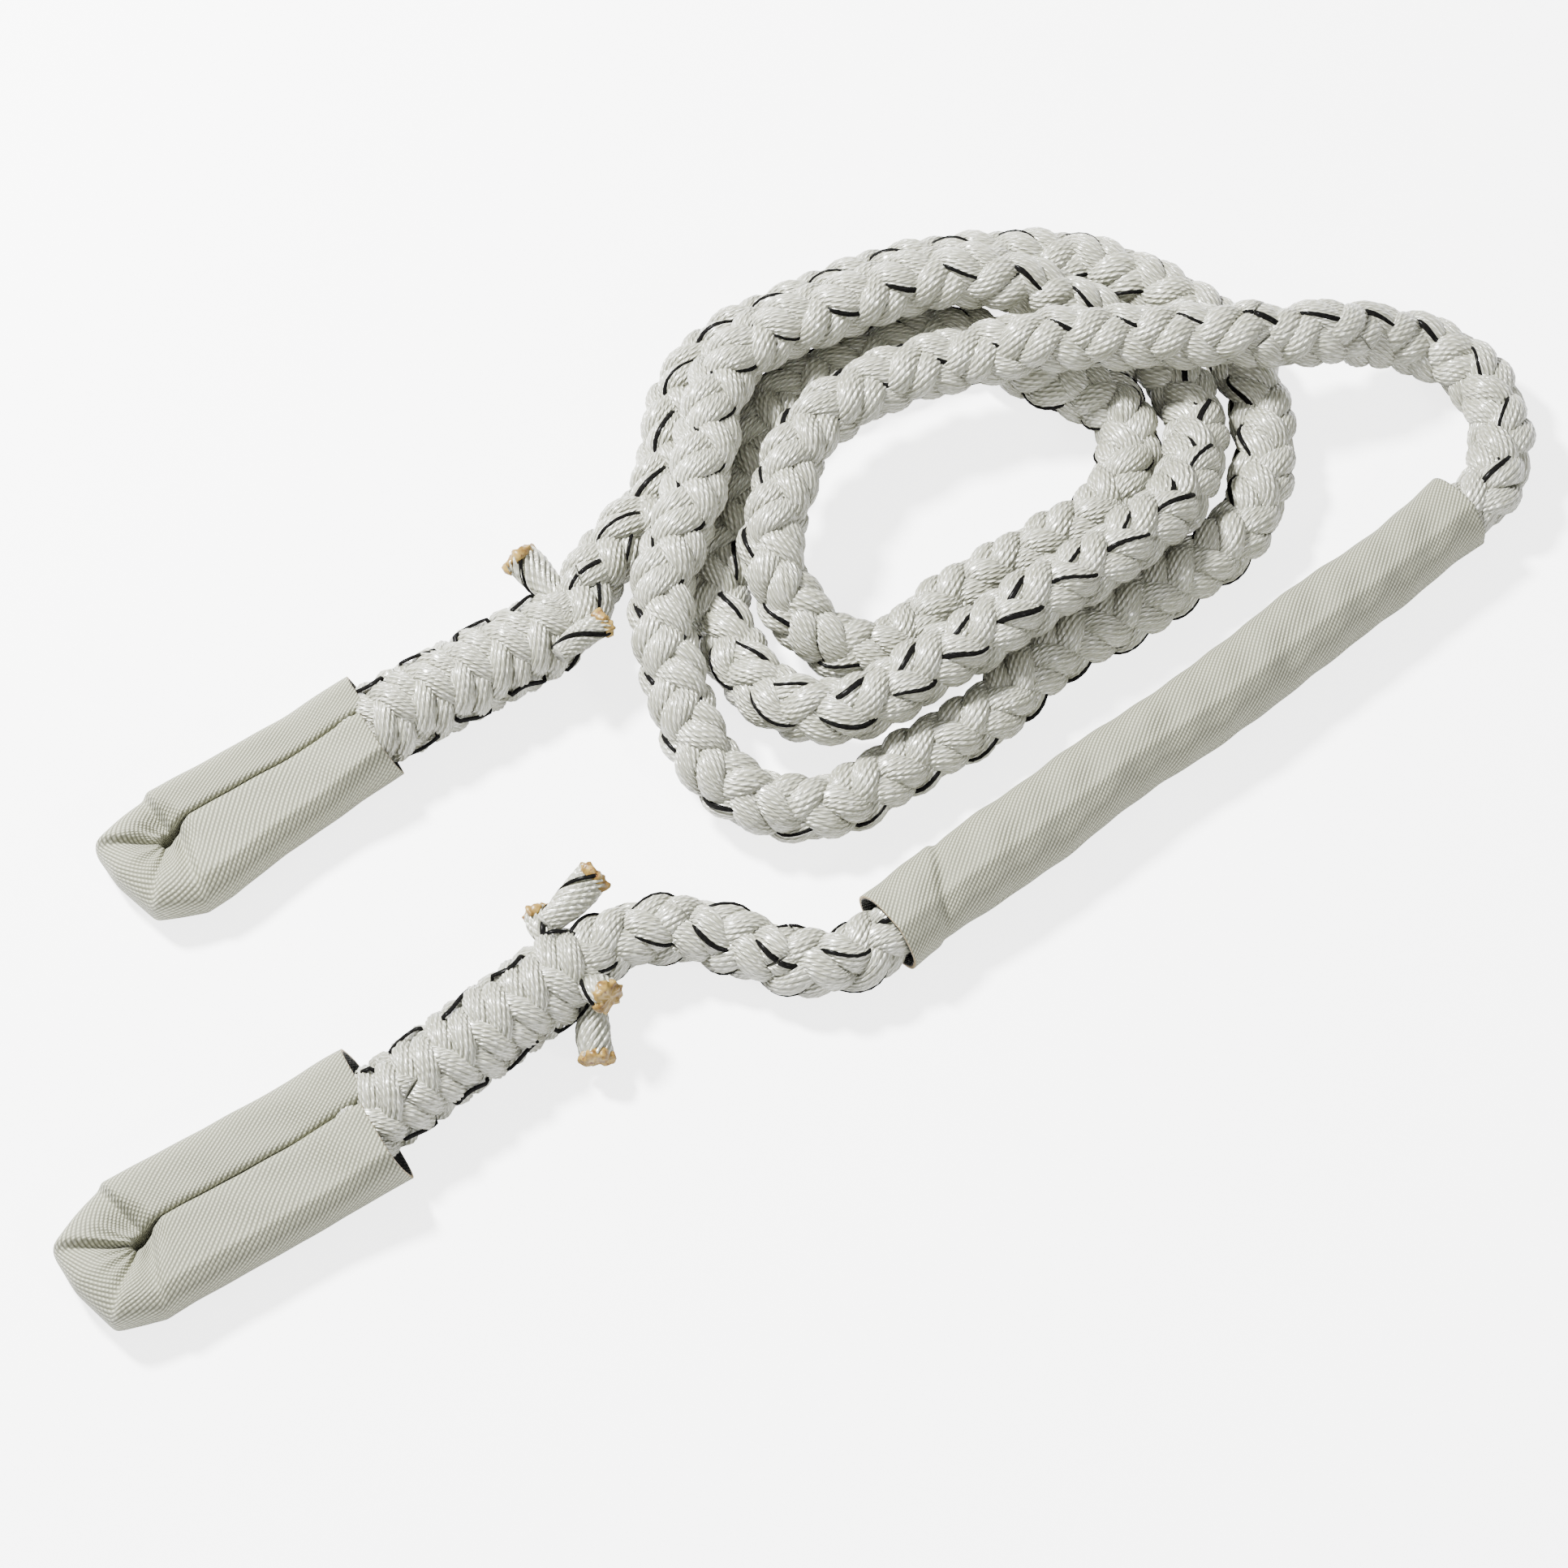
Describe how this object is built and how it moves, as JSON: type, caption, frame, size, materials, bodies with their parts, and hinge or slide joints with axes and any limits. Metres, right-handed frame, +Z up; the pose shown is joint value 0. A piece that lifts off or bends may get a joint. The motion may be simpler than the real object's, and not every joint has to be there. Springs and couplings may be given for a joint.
{
  "type": "tow rope",
  "caption": "Coiled eight-strand plaited white tow rope with a spliced, sleeved soft eye at each end and a sliding chafe sleeve.",
  "frame": {"origin": "middle of the rope's footprint, on the surface that it rests on", "axes": "+Z up, +X towards the lead's outer bend, +Y away from the eyes"},
  "size_m": [0.5023, 0.4133, 0.0501],
  "materials": {
    "strand_white": "satin",
    "tracer_black": "matte",
    "sleeve_fabric": "matte",
    "lining_black": "matte",
    "melted_tip": "gloss"
  },
  "bodies": {
    "coil": {"coil_strand_1": "strand_white", "coil_strand_2": "strand_white", "coil_strand_3": "strand_white", "coil_strand_4": "strand_white", "coil_strand_5": "strand_white", "coil_strand_6": "strand_white", "coil_strand_7": "strand_white", "coil_strand_8": "strand_white", "coil_tracer_yarns": "tracer_black"},
    "splice_a": {"splice_a_standing_strands": "strand_white", "splice_a_tucked_strands": "strand_white", "splice_a_tail_stubs": "strand_white", "splice_a_melted_tips": "melted_tip"},
    "eye_a": {"eye_a_bight_strands": "strand_white", "eye_a_sleeve": "sleeve_fabric", "eye_a_lining": "lining_black"},
    "lead": {"lead_strand_1": "strand_white", "lead_strand_2": "strand_white", "lead_strand_3": "strand_white", "lead_strand_4": "strand_white", "lead_strand_5": "strand_white", "lead_strand_6": "strand_white", "lead_strand_7": "strand_white", "lead_strand_8": "strand_white", "lead_tracer_yarns": "tracer_black"},
    "long_sleeve": {"long_sleeve": "sleeve_fabric", "long_sleeve_lining": "lining_black"},
    "splice_b": {"splice_b_standing_strands": "strand_white", "splice_b_tucked_strands": "strand_white", "splice_b_tail_stubs": "strand_white", "splice_b_melted_tips": "melted_tip"},
    "eye_b": {"eye_b_bight_strands": "strand_white", "eye_b_sleeve": "sleeve_fabric", "eye_b_lining": "lining_black"}
  },
  "joints": [
    {"name": "splice_a_swing", "type": "hinge", "parent": "coil", "child": "splice_a", "pos_m": [-0.0743, 0.0756, 0.0145], "axis": [0, 0, 1], "range_deg": [-25, 6]},
    {"name": "eye_a_lift", "type": "hinge", "parent": "splice_a", "child": "eye_a", "pos_m": [-0.16034, 0.00301, 0.022], "axis": [-0.5299, 0.848, 0], "range_deg": [0, 60]},
    {"name": "lead_swing", "type": "hinge", "parent": "coil", "child": "lead", "pos_m": [0.1692, 0.1516, 0.034], "axis": [0, 0, 1], "range_deg": [-3, 14]},
    {"name": "sleeve_slide", "type": "slide", "parent": "lead", "child": "long_sleeve", "axis": [0.7848, 0.6198, 0], "range_m": [-0.008, 0.006]},
    {"name": "splice_b_swing", "type": "hinge", "parent": "lead", "child": "splice_b", "pos_m": [-0.0328, -0.0719, 0.0135], "axis": [0, 0, 1], "range_deg": [-12, 24]},
    {"name": "eye_b_lift", "type": "hinge", "parent": "splice_b", "child": "eye_b", "pos_m": [-0.15438, -0.13892, 0.022], "axis": [-0.5075, 0.8616, 0], "range_deg": [0, 60]}
  ]
}
